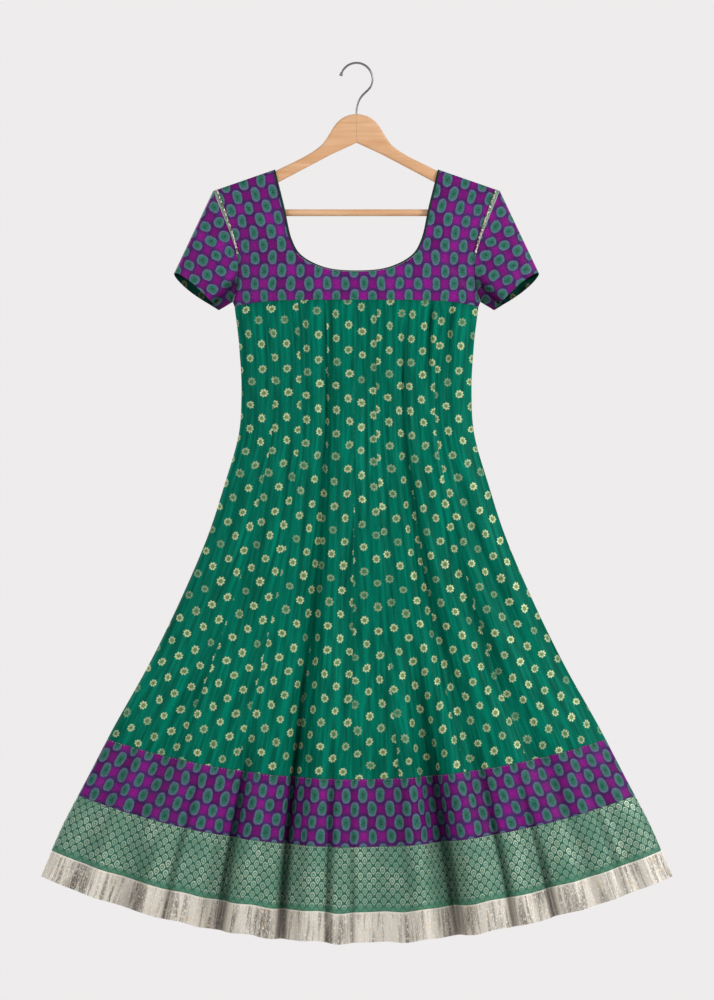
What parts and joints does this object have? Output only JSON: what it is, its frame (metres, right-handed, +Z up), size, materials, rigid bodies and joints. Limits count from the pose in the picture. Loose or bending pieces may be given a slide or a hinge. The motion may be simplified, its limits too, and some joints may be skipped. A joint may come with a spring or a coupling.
{
  "type": "anarkali gown on a wooden coat hanger",
  "caption": "Short-sleeved flared anarkali gown with a purple yoke, green kali skirt, patterned band, border and silver hem, hung on a wooden hanger.",
  "frame": {"origin": "inside top of the hanger's hook, where a rail carries it", "axes": "+Z up, +X towards the wearer's left, the front of the gown faces -Y"},
  "size_m": [1.014, 0.1379, 1.4055],
  "materials": {
    "purple_silk": "woven oval pattern, soft sheen",
    "green_silk": "plain weave with woven gold flowers",
    "green_brocade": "brocade with small metallic drops",
    "zari_tissue": "crinkled silver-gold tissue",
    "beech": "sanded and lacquered",
    "chromed_wire": "polished"
  },
  "bodies": {
    "root": {"hanger_hook": "chromed_wire", "hanger_arm_left": "beech", "hanger_arm_right": "beech", "hanger_bar": "beech", "front_yoke": "purple_silk", "front_kali_1": "green_silk", "front_kali_2": "green_silk", "front_kali_3": "green_silk", "front_kali_4": "green_silk", "front_kali_5": "green_silk", "front_kali_6": "green_silk", "front_kali_7": "green_silk", "front_kali_8": "green_silk", "front_purple_band": "purple_silk", "front_brocade_border": "green_brocade", "front_zari_hem": "zari_tissue", "back_yoke": "purple_silk", "back_kali_1": "green_silk", "back_kali_2": "green_silk", "back_kali_3": "green_silk", "back_kali_4": "green_silk", "back_kali_5": "green_silk", "back_kali_6": "green_silk", "back_kali_7": "green_silk", "back_kali_8": "green_silk", "back_purple_band": "purple_silk", "back_brocade_border": "green_brocade", "back_zari_hem": "zari_tissue", "sleeve_left": "purple_silk", "sleeve_right": "purple_silk", "cuff_facing_left": "green_silk", "cuff_facing_right": "green_silk", "armhole_trim_left": "zari_tissue", "armhole_trim_right": "zari_tissue", "neck_binding": "green_silk"}
  },
  "joints": []
}
